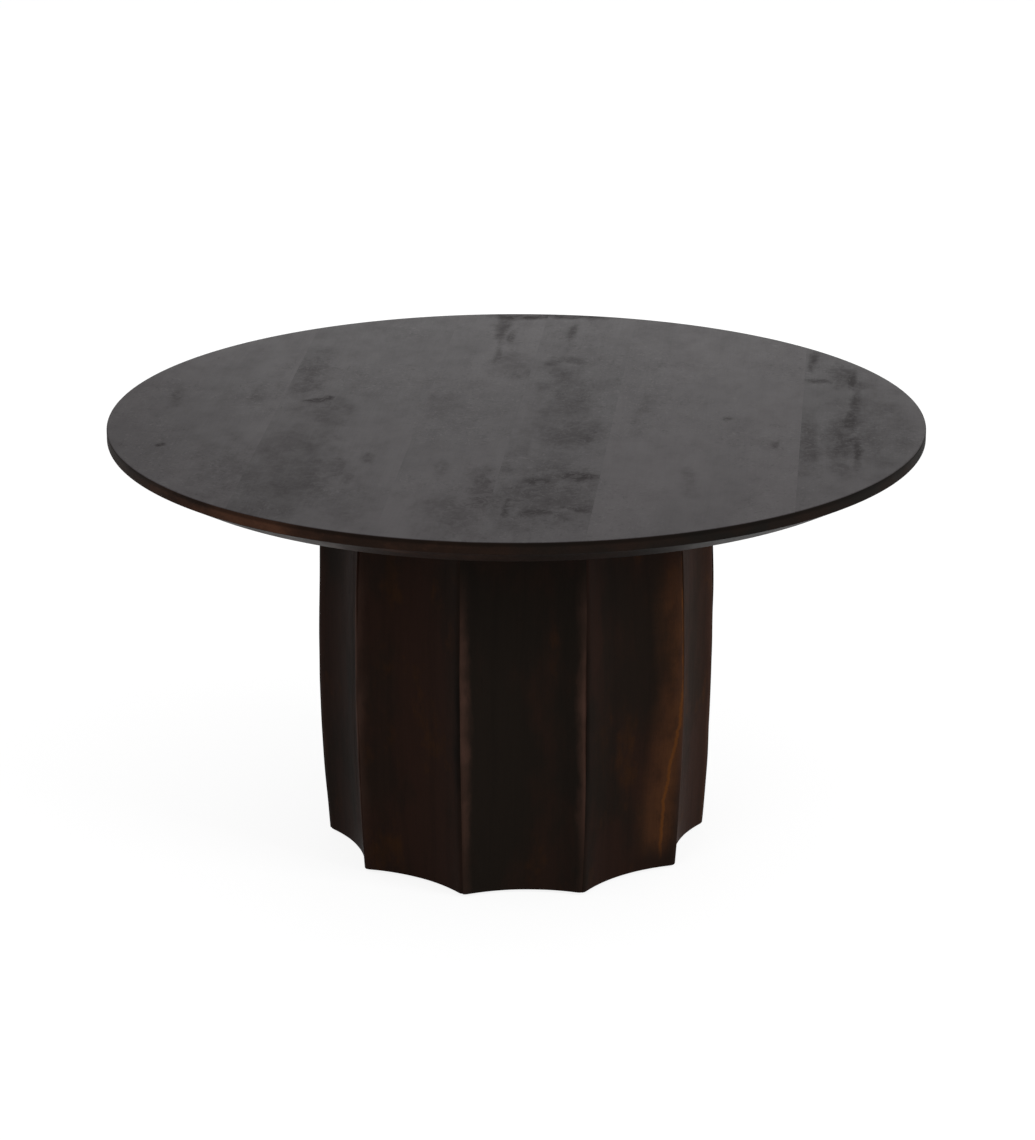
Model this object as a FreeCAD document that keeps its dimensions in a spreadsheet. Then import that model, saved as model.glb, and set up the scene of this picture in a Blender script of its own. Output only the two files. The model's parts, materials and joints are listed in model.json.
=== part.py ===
import FreeCAD, Part
import Sketcher
import math
import os

from FreeCAD import Placement, Rotation, Vector

# African drum table: a round plank top on a hollow drum of fluted staves.
# Millimetres, +Z up. The origin is on the floor under the middle of the drum, and the boards run along Y.

doc = FreeCAD.newDocument("drum_table")
sheet = doc.addObject("Spreadsheet::Sheet", "sizes")

driving_sizes = {
    # Whole table
    "table_height": 460,
    "pad_height": 3,
    "fit_gap": 0.1,
    "panel_gap": 0.3,
    "overrun": 5,
    # Round top
    "top_diameter": 850,
    "rim_height": 12,
    "rim_ease": 1.5,
    "bevel_drop": 18,
    "bevel_run": 35,
    # Loose tongues in the board joints
    "tongue_thickness": 6,
    "tongue_width": 20,
    "tongue_stop": 45,
    # Barrel of mitred staves with hollow flutes between soft arrises
    "stave_count": 10,
    "first_stave_angle": -83,
    "arris_radius": 210,
    "arris_trim": 1.9,
    "flute_depth": 13,
    "drum_swell": 7,
    "stave_wall": 24.7,
    "ledge_width": 13,
    # Splines in the mitres
    "spline_thickness": 6,
    "spline_width": 24,
    "spline_stop": 14,
    # Head and floor ring let into the drum's ends
    "head_thickness": 18,
    "ring_thickness": 18,
    "ring_width": 48,
    # Glue blocks under the head, one against each stave
    "block_length": 60,
    "block_width": 18,
    "block_depth": 20,
    # Wide-headed connector bolts that hold the top down, and their inserts
    "bolt_count": 4,
    "bolt_inset": 12,
    "bolt_angle": 10,
    "bolt_diameter": 8,
    "bolt_head": 17,
    "bolt_head_height": 2.5,
    "bolt_grip": 11,
    "socket_width": 5,
    "socket_depth": 1.5,
    "insert_diameter": 12,
    "insert_length": 13,
    # Felt pads under the floor ring
    "felt_pad_count": 5,
    "felt_pad_diameter": 25,
}

for row, (alias, number) in enumerate(driving_sizes.items(), start=1):
    sheet.set(f"A{row}", str(number))
    sheet.setAlias(f"A{row}", alias)
doc.recompute()

# Where the board joints cross the top, as shares of its radius, from left to right.
seam_shares = (-0.595, -0.235, 0.0, 0.238, 0.697)
# Degrees in a full turn, and a hex socket's corners.
full_turn = 360
hexagon_corners = 6

# Lengths that follow from the driving sizes, as formulas.
top_radius = "(sizes.top_diameter / 2)"
drum_top = "(sizes.table_height - sizes.rim_height - sizes.bevel_drop)"
drum_height = f"({drum_top} - sizes.pad_height)"
tongue_level = f"(({drum_top} + sizes.table_height) / 2)"
half_turn = "(180 deg / sizes.stave_count)"
sharp_arris = "(sizes.arris_radius + sizes.arris_trim)"
flute_mid = f"(sizes.arris_radius * cos({half_turn}) - sizes.flute_depth)"
flute_end = f"({flute_mid} - sizes.drum_swell)"
arris_across = f"({sharp_arris} * cos({half_turn}) - {flute_mid})"
flute_axis = f"(({sharp_arris}^2 - {flute_mid}^2) / (2 * {arris_across}))"
flute_side = f"sqrt(({flute_axis} - {flute_end})^2 - ({flute_axis} * sin({half_turn}))^2)"
sharp_end = f"({flute_axis} * cos({half_turn}) - {flute_side})"
arris_end = f"({sharp_end} - sizes.arris_trim)"
inner_flat = f"({flute_end} - sizes.stave_wall)"
rebate_radius = f"({inner_flat} + sizes.ledge_width)"
ring_bore_radius = f"({rebate_radius} - sizes.ring_width)"
inner_corner = f"({inner_flat} / cos({half_turn}))"
spline_place = f"(({inner_corner} + {arris_end}) / 2)"
spline_foot = "(sizes.ring_thickness + sizes.spline_stop)"
spline_length = f"({drum_height} - {spline_foot} - sizes.head_thickness - sizes.spline_stop)"
block_face = f"({inner_flat} - sizes.block_width)"
bolt_place = f"({block_face} - sizes.bolt_inset)"
head_under = f"({drum_top} - sizes.head_thickness)"

parts = []


def amount(formula):
    return float(sheet.evalExpression(formula))


def whole(formula):
    return int(round(amount(formula)))


def new_body(name, turn=None, lift=None):
    # A body turned about the drum's axis and lifted above the floor.
    body = doc.addObject("PartDesign::Body", name)
    body.Label = name
    body.Placement = Placement(Vector(), Rotation(Vector(0, 0, 1), 0))
    if turn:
        body.Placement = Placement(Vector(), Rotation(Vector(0, 0, 1), amount(turn)))
        body.setExpression("Placement.Rotation.Angle", turn)
    if lift:
        body.setExpression("Placement.Base.z", lift)
    parts.append(body)
    return body


def new_sketch(body, name, role, shift=None):
    sketch = body.newObject("Sketcher::SketchObject", name)
    plane = [item for item in body.Origin.OriginFeatures if item.Role == role][0]
    sketch.AttachmentSupport = [(plane, "")]
    sketch.MapMode = "FlatFace"
    if shift:
        sketch.setExpression("AttachmentOffset.Base.z", shift)
    return sketch


def bind(sketch, kind, element, point, formula):
    # A distance of one point from the sketch's origin, driven by a formula.
    number = sketch.addConstraint(Sketcher.Constraint(kind, -1, 1, element, point, amount(formula)))
    sketch.setExpression(f"Constraints[{number}]", formula)


def draw_outline(sketch, corners, arcs=None):
    # A closed outline through corners given as formulas. An arc has the number of the side that it replaces,
    # its radius, and 1 or -1 where its centre lies to the left or right of the way round.
    arcs = arcs or {}
    points = [Vector(amount(across), amount(up), 0) for across, up in corners]
    first = sketch.GeometryCount
    ends = []
    for side, start in enumerate(points):
        stop = points[(side + 1) % len(points)]
        if side not in arcs:
            sketch.addGeometry(Part.LineSegment(start, stop))
            ends.append((1, 2))
            continue
        formula, hand = arcs[side]
        radius = amount(formula)
        along = stop - start
        across = Vector(-along.y, along.x, 0).normalize() * hand
        rise = math.sqrt(radius ** 2 - (along.Length / 2) ** 2)
        centre = start + along / 2 + across * rise
        crown = centre - across * radius
        if hand > 0:
            sketch.addGeometry(Part.Arc(start, crown, stop))
            ends.append((1, 2))
        else:
            sketch.addGeometry(Part.Arc(stop, crown, start))
            ends.append((2, 1))
    for side in range(len(points)):
        before = (side - 1) % len(points)
        meeting = (first + before, ends[before][1], first + side, ends[side][0])
        sketch.addConstraint(Sketcher.Constraint("Coincident", *meeting))
    for side, (across, up) in enumerate(corners):
        bind(sketch, "DistanceX", first + side, ends[side][0], across)
        bind(sketch, "DistanceY", first + side, ends[side][0], up)
    for side, (formula, hand) in arcs.items():
        number = sketch.addConstraint(Sketcher.Constraint("Radius", first + side, amount(formula)))
        sketch.setExpression(f"Constraints[{number}]", formula)


def draw_box(sketch, left, right, low, high):
    draw_outline(sketch, ((left, low), (right, low), (right, high), (left, high)))


def draw_circle(sketch, across, up, radius):
    centre = Vector(amount(across), amount(up), 0)
    element = sketch.addGeometry(Part.Circle(centre, Vector(0, 0, 1), amount(radius)))
    bind(sketch, "DistanceX", element, 3, across)
    bind(sketch, "DistanceY", element, 3, up)
    number = sketch.addConstraint(Sketcher.Constraint("Radius", element, amount(radius)))
    sketch.setExpression(f"Constraints[{number}]", radius)


def draw_axis(sketch, across):
    # An upright construction line, the sketch's own axis for turned shapes.
    low = Vector(amount(across), 0, 0)
    high = Vector(amount(across), amount("sizes.overrun"), 0)
    element = sketch.addGeometry(Part.LineSegment(low, high), True)
    bind(sketch, "DistanceX", element, 1, across)
    bind(sketch, "DistanceX", element, 2, across)
    bind(sketch, "DistanceY", element, 1, "0")
    bind(sketch, "DistanceY", element, 2, "sizes.overrun")
    return "Axis0"


def add_pad(body, name, sketch, length):
    pad = body.newObject("PartDesign::Pad", name)
    pad.Profile = sketch
    pad.setExpression("Length", length)
    return pad


def add_pocket(body, name, sketch, length, along_normal):
    pocket = body.newObject("PartDesign::Pocket", name)
    pocket.Profile = sketch
    pocket.Reversed = along_normal
    pocket.setExpression("Length", length)
    return pocket


def add_turned(body, name, sketch, axis="V_Axis", cut=False, angle=full_turn):
    # Turned about an upright line of its sketch, and evenly to both sides of it if less than a full turn.
    feature = body.newObject("PartDesign::Groove" if cut else "PartDesign::Revolution", name)
    feature.Profile = sketch
    feature.ReferenceAxis = (sketch, [axis])
    feature.Midplane = angle < full_turn
    feature.Angle = angle
    return feature


def add_ring_of(body, name, features, count):
    # The features repeated evenly about the drum's axis.
    pattern = body.newObject("PartDesign::PolarPattern", name)
    pattern.Originals = features
    axis = [item for item in body.Origin.OriginFeatures if item.Role == "Z_Axis"][0]
    pattern.Axis = (axis, [""])
    pattern.Angle = full_turn
    pattern.setExpression("Occurrences", count)
    body.Tip = pattern
    return pattern


# Round top: planks edge to edge, turned to the round, with a short upright rim over a long under-bevel.

def seam_place(seam):
    return f"({top_radius} * {seam_shares[seam]})"


def tongue_reach(seam):
    # Half the length of a tongue, which stops short of the rim.
    return f"(sqrt({top_radius}^2 - {seam_place(seam)}^2) - sizes.tongue_stop)"


def cut_tongue_slot(body, seam, board_is_right):
    sketch = new_sketch(body, f"slot_{seam + 1}_outline", "YZ_Plane", seam_place(seam))
    reach = f"({tongue_reach(seam)} + sizes.fit_gap)"
    rise = "(sizes.tongue_thickness / 2 + sizes.fit_gap)"
    draw_box(sketch, f"-{reach}", reach, f"{tongue_level} - {rise}", f"{tongue_level} + {rise}")
    add_pocket(body, f"slot_{seam + 1}", sketch, "sizes.tongue_width / 2 + sizes.fit_gap", board_is_right)


def make_board(board):
    body = new_body(f"top_board_{board + 1}")
    rim = new_sketch(body, "rim_outline", "XZ_Plane")
    corners = (
        ("0", drum_top),
        (f"{top_radius} - sizes.bevel_run", drum_top),
        (top_radius, f"{drum_top} + sizes.bevel_drop"),
        (top_radius, "sizes.table_height - sizes.rim_ease"),
        (f"{top_radius} - sizes.rim_ease", "sizes.table_height"),
        ("0", "sizes.table_height"),
    )
    draw_outline(rim, corners)
    add_turned(body, "turned_round", rim)

    outside = f"({top_radius} + sizes.overrun)"
    trim = new_sketch(body, "joint_edges", "XY_Plane")
    if board > 0:
        draw_box(trim, f"-{outside}", seam_place(board - 1), f"-{outside}", outside)
    if board < len(seam_shares):
        draw_box(trim, seam_place(board), outside, f"-{outside}", outside)
    add_pocket(body, "board_width", trim, "sizes.table_height + sizes.overrun", True)

    if board > 0:
        cut_tongue_slot(body, board - 1, True)
    if board < len(seam_shares):
        cut_tongue_slot(body, board, False)
    bore_for_inserts(body, board)


def bolt_turn(bolt):
    return f"((sizes.bolt_angle + {full_turn} * {bolt} / sizes.bolt_count) * 1 deg)"


def bore_for_inserts(body, board):
    # A bore that lies across a joint is cut in both of its boards.
    edges = [-amount(top_radius)] + [amount(seam_place(seam)) for seam in range(len(seam_shares))]
    edges.append(amount(top_radius))
    bore_radius = "(sizes.insert_diameter / 2 + sizes.fit_gap)"
    reach = amount(bore_radius)
    places = []
    for bolt in range(whole("sizes.bolt_count")):
        across = f"{bolt_place} * cos{bolt_turn(bolt)}"
        along = f"{bolt_place} * sin{bolt_turn(bolt)}"
        if edges[board] - reach < amount(across) < edges[board + 1] + reach:
            places.append((across, along))
    if not places:
        return
    sketch = new_sketch(body, "insert_bore_outline", "XY_Plane", drum_top)
    for across, along in places:
        draw_circle(sketch, across, along, bore_radius)
    add_pocket(body, "insert_bores", sketch, "sizes.insert_length + sizes.fit_gap", True)


def make_tongue(seam):
    body = new_body(f"top_tongue_{seam + 1}")
    left = f"{seam_place(seam)} - sizes.tongue_width / 2"
    sketch = new_sketch(body, "tongue_outline", "YZ_Plane", left)
    rise = "sizes.tongue_thickness / 2"
    reach = tongue_reach(seam)
    draw_box(sketch, f"-{reach}", reach, f"{tongue_level} - {rise}", f"{tongue_level} + {rise}")
    add_pad(body, "tongue", sketch, "sizes.tongue_width")


# Drum: staves mitred at the arrises, turned to a barrel and hollowed by one flute each.
# A stave is drawn with its middle along X and its foot at zero.

def stave_turn(steps):
    return f"(sizes.first_stave_angle * 1 deg + 2 * {half_turn} * {steps})"


def swell_radius(middle, end):
    # Radius of the arc that bulges from end to middle over the drum's height.
    return f"((({drum_height} / 2)^2 + ({middle} - {end})^2) / (2 * ({middle} - {end})))"


def mitre_point(out, side, inward="0"):
    # A point on a mitre face, and inward from it square to that face.
    across = f"({out}) * cos({half_turn}) + ({inward}) * sin({half_turn})"
    up = f"{side}((({out}) * sin({half_turn})) - ({inward}) * cos({half_turn}))"
    return across, up


def make_stave(stave):
    body = new_body(f"stave_{stave + 1:02d}", stave_turn(stave), "sizes.pad_height")
    blank_out = f"{sharp_arris} + sizes.overrun"

    wedge = new_sketch(body, "mitred_blank_outline", "XY_Plane")
    wedge_corners = (
        mitre_point(inner_corner, "-"),
        mitre_point(blank_out, "-"),
        mitre_point(blank_out, "+"),
        mitre_point(inner_corner, "+"),
    )
    draw_outline(wedge, wedge_corners)
    add_pad(body, "mitred_blank", wedge, drum_height)

    low = "-sizes.overrun"
    high = f"{drum_height} + sizes.overrun"
    outside = f"{sharp_arris} + 2 * sizes.overrun"
    barrel = new_sketch(body, "barrel_outline", "XZ_Plane")
    barrel_corners = (
        (arris_end, low),
        (outside, low),
        (outside, high),
        (arris_end, high),
        (arris_end, drum_height),
        (arris_end, "0"),
    )
    draw_outline(barrel, barrel_corners, {4: (swell_radius("sizes.arris_radius", arris_end), -1)})
    add_turned(body, "turned_barrel", barrel, cut=True, angle=full_turn / 2)

    # The flute is round about an upright axis outside the drum, and its bottom swells as the barrel does.
    flute = new_sketch(body, "flute_outline", "XZ_Plane")
    flute_corners = (
        (flute_end, low),
        (flute_axis, low),
        (flute_axis, high),
        (flute_end, high),
        (flute_end, drum_height),
        (flute_end, "0"),
    )
    draw_outline(flute, flute_corners, {4: (swell_radius(flute_mid, flute_end), -1)})
    axis = draw_axis(flute, flute_axis)
    add_turned(body, "flute", flute, axis, cut=True, angle=full_turn / 2)

    for face, lift, deep, up in (
        ("head", drum_height, "sizes.head_thickness", False),
        ("foot", "0", "sizes.ring_thickness", True),
    ):
        rebate = new_sketch(body, f"{face}_rebate_outline", "XY_Plane", lift)
        draw_circle(rebate, "0", "0", rebate_radius)
        add_pocket(body, f"{face}_rebate", rebate, deep, up)

    slots = new_sketch(body, "spline_slot_outline", "XY_Plane", f"{spline_foot} - sizes.fit_gap")
    near = f"{spline_place} - sizes.spline_thickness / 2 - sizes.fit_gap"
    far = f"{spline_place} + sizes.spline_thickness / 2 + sizes.fit_gap"
    deep = "sizes.spline_width / 2 + sizes.fit_gap"
    for side in ("-", "+"):
        slot_corners = (
            mitre_point(near, side, "-sizes.overrun"),
            mitre_point(far, side, "-sizes.overrun"),
            mitre_point(far, side, deep),
            mitre_point(near, side, deep),
        )
        draw_outline(slots, slot_corners)
    add_pocket(body, "spline_slots", slots, f"{spline_length} + 2 * sizes.fit_gap", True)


def make_spline(joint):
    body = new_body(f"stave_spline_{joint + 1:02d}", stave_turn(joint + 0.5), "sizes.pad_height")
    sketch = new_sketch(body, "spline_outline", "XY_Plane", spline_foot)
    near = f"{spline_place} - sizes.spline_thickness / 2"
    far = f"{spline_place} + sizes.spline_thickness / 2"
    draw_box(sketch, near, far, "-sizes.spline_width / 2", "sizes.spline_width / 2")
    add_pad(body, "spline", sketch, spline_length)


# Head and floor ring: discs let into the rebates at the drum's ends, and glue blocks that hold the head down.

def make_head():
    body = new_body("drum_head")
    disc = new_sketch(body, "head_outline", "XY_Plane", head_under)
    draw_circle(disc, "0", "0", f"{rebate_radius} - sizes.panel_gap")
    add_pad(body, "head_disc", disc, "sizes.head_thickness")
    bore = new_sketch(body, "bolt_hole_outline", "XY_Plane", head_under)
    turn = bolt_turn(0)
    hole_radius = "sizes.bolt_diameter / 2 + 2 * sizes.fit_gap"
    draw_circle(bore, f"{bolt_place} * cos{turn}", f"{bolt_place} * sin{turn}", hole_radius)
    hole = add_pocket(body, "bolt_hole", bore, "sizes.head_thickness", True)
    add_ring_of(body, "bolt_holes", [hole], "sizes.bolt_count")


def make_ring():
    body = new_body("floor_ring")
    disc = new_sketch(body, "ring_outline", "XY_Plane", "sizes.pad_height")
    draw_circle(disc, "0", "0", f"{rebate_radius} - sizes.panel_gap")
    draw_circle(disc, "0", "0", ring_bore_radius)
    add_pad(body, "ring_disc", disc, "sizes.ring_thickness")


def make_block(stave):
    body = new_body(f"head_block_{stave + 1:02d}", stave_turn(stave))
    sketch = new_sketch(body, "block_outline", "XY_Plane", f"{head_under} - sizes.block_depth")
    draw_box(sketch, block_face, inner_flat, "-sizes.block_length / 2", "sizes.block_length / 2")
    add_pad(body, "block", sketch, "sizes.block_depth")


# Bolts through the head into threaded inserts in the underside of the top.

def make_turned_piece(name, turn, place, corners):
    body = new_body(name, turn)
    sketch = new_sketch(body, "half_outline", "XZ_Plane")
    draw_outline(sketch, corners)
    axis = draw_axis(sketch, place)
    return body, add_turned(body, "turned_piece", sketch, axis)


def make_bolts():
    head_face = f"({head_under} - sizes.bolt_head_height)"
    head = f"{bolt_place} + sizes.bolt_head / 2"
    shank = f"{bolt_place} + sizes.bolt_diameter / 2"
    end = f"{drum_top} + sizes.bolt_grip"
    corners = (
        (bolt_place, head_face),
        (head, head_face),
        (head, head_under),
        (shank, head_under),
        (shank, end),
        (bolt_place, end),
    )
    body, bolt = make_turned_piece("top_bolts", bolt_turn(0), bolt_place, corners)
    hexagon = new_sketch(body, "socket_outline", "XY_Plane", head_face)
    turns = [f"({full_turn} deg * {corner} / {hexagon_corners})" for corner in range(hexagon_corners)]
    reach = f"(sizes.socket_width / 2 / cos(180 deg / {hexagon_corners}))"
    draw_outline(hexagon, [(f"{bolt_place} + {reach} * cos{turn}", f"{reach} * sin{turn}") for turn in turns])
    socket = add_pocket(body, "hex_socket", hexagon, "sizes.socket_depth", True)
    add_ring_of(body, "bolts", [bolt, socket], "sizes.bolt_count")


def make_inserts():
    inner = f"{bolt_place} + sizes.bolt_diameter / 2 + sizes.fit_gap"
    outer = f"{bolt_place} + sizes.insert_diameter / 2"
    high = f"{drum_top} + sizes.insert_length"
    corners = ((inner, drum_top), (outer, drum_top), (outer, high), (inner, high))
    body, insert = make_turned_piece("threaded_inserts", bolt_turn(0), bolt_place, corners)
    add_ring_of(body, "inserts", [insert], "sizes.bolt_count")


def make_felt_pads():
    body = new_body("felt_pads", stave_turn(0))
    sketch = new_sketch(body, "pad_outline", "XY_Plane")
    draw_circle(sketch, f"({ring_bore_radius} + {rebate_radius}) / 2", "0", "sizes.felt_pad_diameter / 2")
    pad = add_pad(body, "pad", sketch, "sizes.pad_height")
    add_ring_of(body, "pads", [pad], "sizes.felt_pad_count")


for board in range(len(seam_shares) + 1):
    make_board(board)
for seam in range(len(seam_shares)):
    make_tongue(seam)
for stave in range(whole("sizes.stave_count")):
    make_stave(stave)
for joint in range(whole("sizes.stave_count")):
    make_spline(joint)
make_head()
make_ring()
for stave in range(whole("sizes.stave_count")):
    make_block(stave)
make_bolts()
make_inserts()
make_felt_pads()
doc.recompute()

for item in doc.Objects:
    if "Invalid" in item.State or "Error" in item.State:
        raise RuntimeError(f"{item.Label} could not be rebuilt: {item.State}")
for body in parts:
    if body.Shape.isNull() or not body.Shape.isValid() or body.Shape.Volume <= 0:
        raise RuntimeError(f"{body.Label} has no valid solid")

os.makedirs("parts", exist_ok=True)
for body in parts:
    body.Shape.exportStep(os.path.join("parts", body.Label + ".step"))
    print(f"{body.Label}: {len(body.Shape.Solids)} solid(s), {body.Shape.Volume / 1000:.1f} cubic cm")
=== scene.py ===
import bpy
import bmesh
import json
from math import cos, pi, radians, sin
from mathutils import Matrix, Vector


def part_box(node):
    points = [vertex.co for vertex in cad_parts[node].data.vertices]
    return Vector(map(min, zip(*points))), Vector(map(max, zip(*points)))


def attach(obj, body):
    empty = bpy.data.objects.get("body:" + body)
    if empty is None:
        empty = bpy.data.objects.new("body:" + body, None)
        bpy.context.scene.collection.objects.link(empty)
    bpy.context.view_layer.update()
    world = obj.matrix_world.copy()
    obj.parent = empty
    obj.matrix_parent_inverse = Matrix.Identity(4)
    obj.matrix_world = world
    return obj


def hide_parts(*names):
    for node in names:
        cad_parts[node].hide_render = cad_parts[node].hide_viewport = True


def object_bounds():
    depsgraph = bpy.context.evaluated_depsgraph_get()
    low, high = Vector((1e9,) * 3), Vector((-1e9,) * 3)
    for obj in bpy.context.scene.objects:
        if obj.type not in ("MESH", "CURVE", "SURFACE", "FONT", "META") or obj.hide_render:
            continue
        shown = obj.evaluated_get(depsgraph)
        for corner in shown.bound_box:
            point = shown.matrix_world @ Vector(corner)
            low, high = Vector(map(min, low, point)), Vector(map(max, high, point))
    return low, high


# African drum table: a round plank top on a barrel of fluted staves.
# Metres, in the same frame as the construction model: boards run along Y, the drum stands on Z.

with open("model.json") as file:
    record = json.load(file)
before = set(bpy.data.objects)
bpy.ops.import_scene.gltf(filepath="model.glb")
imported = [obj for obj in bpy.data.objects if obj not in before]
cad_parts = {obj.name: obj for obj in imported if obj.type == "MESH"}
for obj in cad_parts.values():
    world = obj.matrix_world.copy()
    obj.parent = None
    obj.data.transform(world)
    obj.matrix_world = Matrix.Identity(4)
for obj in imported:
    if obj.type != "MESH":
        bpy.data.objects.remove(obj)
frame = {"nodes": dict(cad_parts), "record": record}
cadNodes = frame["nodes"]
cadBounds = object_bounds()
print("frame loaded:", len(cadNodes), "nodes")


# Short ways to fill a node tree, for shaders and geometry alike

def fillSockets(tree, node, values):
    # Links what comes from another node, and sets what is a plain value.
    for name, value in values.items():
        if isinstance(value, bpy.types.NodeSocket):
            tree.links.new(value, node.inputs[name])
        else:
            node.inputs[name].default_value = value


def addNode(tree, kind, values=None, **settings):
    node = tree.nodes.new(kind)
    for name, setting in settings.items():
        setattr(node, name, setting)
    fillSockets(tree, node, values or {})
    return node


def calc(tree, operation, *values, clamp=False):
    numbers = dict(enumerate(values))
    return addNode(tree, "ShaderNodeMath", numbers, operation=operation, use_clamp=clamp).outputs[0]


def plus(tree, first, second):
    return calc(tree, "ADD", first, second)


def minus(tree, first, second):
    return calc(tree, "SUBTRACT", first, second)


def times(tree, first, *others):
    for other in others:
        first = calc(tree, "MULTIPLY", first, other)
    return first


def vectorCalc(tree, operation, *values):
    node = addNode(tree, "ShaderNodeVectorMath", dict(enumerate(values)), operation=operation)
    return node.outputs["Value" if operation == "LENGTH" else "Vector"]


def scaleVector(tree, vector, factor):
    values = {0: vector, "Scale": factor}
    return addNode(tree, "ShaderNodeVectorMath", values, operation="SCALE").outputs["Vector"]


def stretch(tree, place, x, y, z):
    return vectorCalc(tree, "MULTIPLY", place, (x, y, z))


def combine(tree, **parts):
    return addNode(tree, "ShaderNodeCombineXYZ", parts).outputs[0]


def split(tree, vector):
    return addNode(tree, "ShaderNodeSeparateXYZ", {0: vector}).outputs


def ramp(tree, value, start, end, atStart=0.0, atEnd=1.0, kind="SMOOTHSTEP"):
    values = {"Value": value, "From Min": start, "From Max": end, "To Min": atStart, "To Max": atEnd}
    return addNode(tree, "ShaderNodeMapRange", values, interpolation_type=kind).outputs["Result"]


def noise(tree, place, scale=1.0, detail=3.0, rough=0.5, distortion=0.0):
    values = {"Vector": place, "Scale": scale, "Detail": detail, "Roughness": rough, "Distortion": distortion}
    return addNode(tree, "ShaderNodeTexNoise", values).outputs["Fac"]


def pattern(tree, place, scales, *style):
    # Noise with a scale of its own in each direction. The style is its detail, roughness and distortion.
    return noise(tree, stretch(tree, place, *scales), 1.0, *style)


def push(tree, place, detail, rough=0.5):
    # Noise about nought in each direction, to push a place by.
    values = {"Vector": place, "Scale": 1, "Detail": detail, "Roughness": rough}
    clouds = addNode(tree, "ShaderNodeTexNoise", values).outputs["Color"]
    return vectorCalc(tree, "SUBTRACT", clouds, (0.5, 0.5, 0.5))


def blendColor(tree, factor, first, second, kind="MIX"):
    values = {0: factor, 6: first, 7: second}
    return addNode(tree, "ShaderNodeMix", values, data_type="RGBA", blend_type=kind).outputs[2]


def pieceValue(tree, name, output="Fac"):
    return addNode(tree, "ShaderNodeAttribute", attribute_name=name).outputs[output]


def addBump(tree, shader, relief, strength, depth):
    bump = addNode(tree, "ShaderNodeBump", {"Height": relief, "Strength": strength, "Distance": depth})
    fillSockets(tree, shader, {"Normal": bump.outputs[0]})


def newMaterial(name):
    material = bpy.data.materials.new(name)
    material.use_nodes = True
    tree = material.node_tree
    tree.nodes.clear()
    shader = tree.nodes.new("ShaderNodeBsdfPrincipled")
    addNode(tree, "ShaderNodeOutputMaterial", {"Surface": shader.outputs[0]})
    return material, tree, shader


# Stained wood. woodPlace holds each point as (depth, across, along the grain) in metres.
# A pattern is three scales in those directions, then its detail, roughness and distortion.
# A share says where a pattern starts and ends to tell, and the share at either end if not nought and one.

woodDrift = {"shift": (0.71, 1.37, 2.93), "scales": (9, 9, 3.2), "detail": 2}


def woodCoordinates(tree, wander):
    # The piece's own places, moved to a part of the pattern that no other piece shows, and made to wander.
    place = pieceValue(tree, "woodPlace", "Vector")
    seed = pieceValue(tree, "woodSeed")
    moved = vectorCalc(tree, "ADD", place, scaleVector(tree, woodDrift["shift"], seed))
    drift = push(tree, stretch(tree, moved, *woodDrift["scales"]), woodDrift["detail"])
    return place, seed, moved, vectorCalc(tree, "ADD", moved, stretch(tree, drift, wander, wander, 0))


topWood = {
    "grey": (0.040, 0.0347, 0.0361, 1), "light": (0.051, 0.0444, 0.0461, 1),
    "fleck": (0.062, 0.055, 0.056, 1), "dark": (0.0070, 0.0043, 0.0038, 1),
    "wander": 0.022, "roughness": 0.38, "figureRoughness": 0.3,
    "specular": 0.020, "bump": 0.008, "bumpDepth": 0.0004, "fibreRelief": 0.5, "broadRelief": 2.0,
}

topPatterns = {
    "broad": ((10, 10, 3.0), 3, 0.5),
    "cloud": ((42, 42, 26), 5, 0.65),
    "bands": ((60, 60, 1.3), 3, 0.55),
    "fibre": ((620, 620, 9), 4, 0.62),
    "pores": ((1300, 1300, 55), 2, 0.6),
    "specks": ((190, 190, 120), 1, 0.5),
    "flecks": ((115, 115, 95), 2, 0.5, 2.5),
    "curly": ((7, 7, 5), 2, 0.5),
    "curls": ((70, 70, 62), 3, 0.6, 1.6),
    "rimPatches": ((30, 16, 16), 4, 0.6),
}

topShares = {
    "light": (0.36, 0.64),
    "bands": (0.56, 0.34, 0, 0.025),
    "cloud": (0.46, 0.30, 0, 0.09),
    "lightFlecks": (0.57, 0.70, 0, 0.85),
    "darkFlecks": (0.43, 0.30, 0, 0.32),
    "curly": (0.42, 0.58, 0.15, 1),       # flecks gather where the grain is curly
    "fibre": (0.56, 0.34, 0, 0.02),
    "pores": (0.32, 0.25, 0, 0.12),
    "specks": (0.20, 0.15, 0, 0.9),
    "curls": (0.36, 0.62, 0.28, 0.60),
    "hairlines": (0.030, 0.004, 0, 0.14),
    "fibreRough": (0.3, 0.7, 0.01, -0.01),
    "cloudRough": (0.3, 0.7, 0.03, -0.03),
    "poreRelief": (0.26, 0.36),
}

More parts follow.
